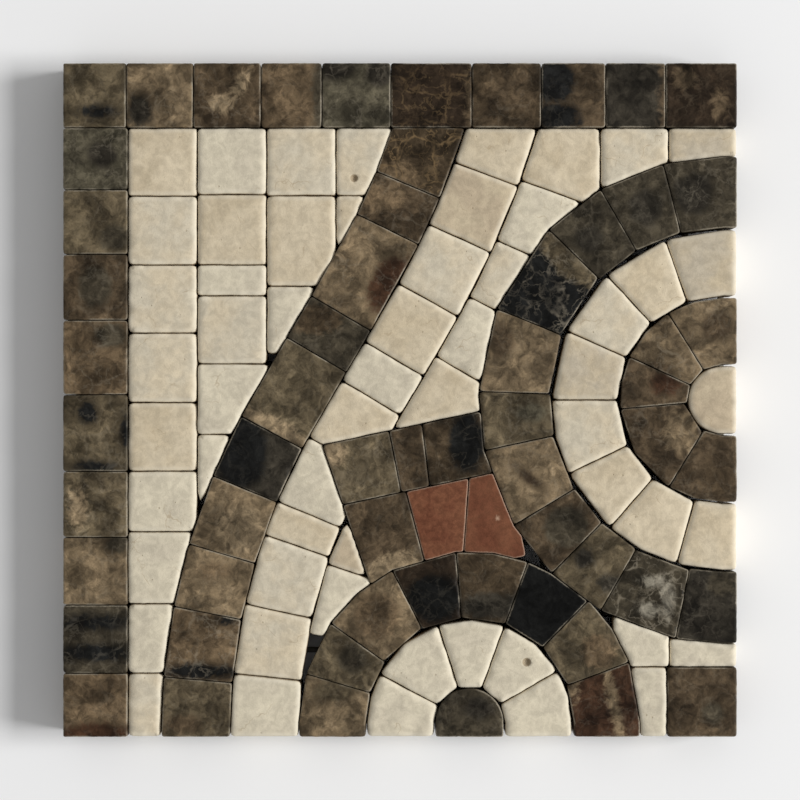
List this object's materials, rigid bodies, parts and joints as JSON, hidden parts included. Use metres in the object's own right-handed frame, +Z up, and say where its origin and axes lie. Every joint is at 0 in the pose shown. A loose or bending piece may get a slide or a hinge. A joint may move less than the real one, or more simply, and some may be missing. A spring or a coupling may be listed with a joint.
{
  "type": "marble mosaic border corner tile",
  "caption": "Square corner of a marble mosaic border: tumbled brown, cream and red stones set as a scroll with half roundels on a glass-fibre net, for floors and walls",
  "frame": {"origin": "on the back of the net, under the middle of the tile", "axes": "+Z up through the stones' face, +Y towards the top border course, -X towards the left border course"},
  "size_m": [0.12, 0.12, 0.01],
  "materials": {
    "brown_marble": "tumbled, honed face",
    "cream_marble": "tumbled, honed face",
    "red_marble": "tumbled, honed face",
    "glass_fibre_net": "resin-coated woven glass fibre"
  },
  "bodies": {
    "root": {"top_border_stones": "brown_marble", "left_border_stones": "brown_marble", "inner_corner_stone": "brown_marble", "large_roundel_outer_ring": "brown_marble", "large_roundel_inner_ring": "brown_marble", "small_roundel_outer_ring": "brown_marble", "small_roundel_eye": "brown_marble", "stem_stones": "brown_marble", "bud_frame_stones": "brown_marble", "large_roundel_cream_ring": "cream_marble", "large_roundel_eye": "cream_marble", "small_roundel_cream_ring": "cream_marble", "stem_lining_stones": "cream_marble", "scroll_infill_stones": "cream_marble", "top_infill_stones": "cream_marble", "corner_infill_stones": "cream_marble", "field_stones": "cream_marble", "bud_heart_stones": "red_marble", "backing_net": "glass_fibre_net"}
  },
  "joints": []
}
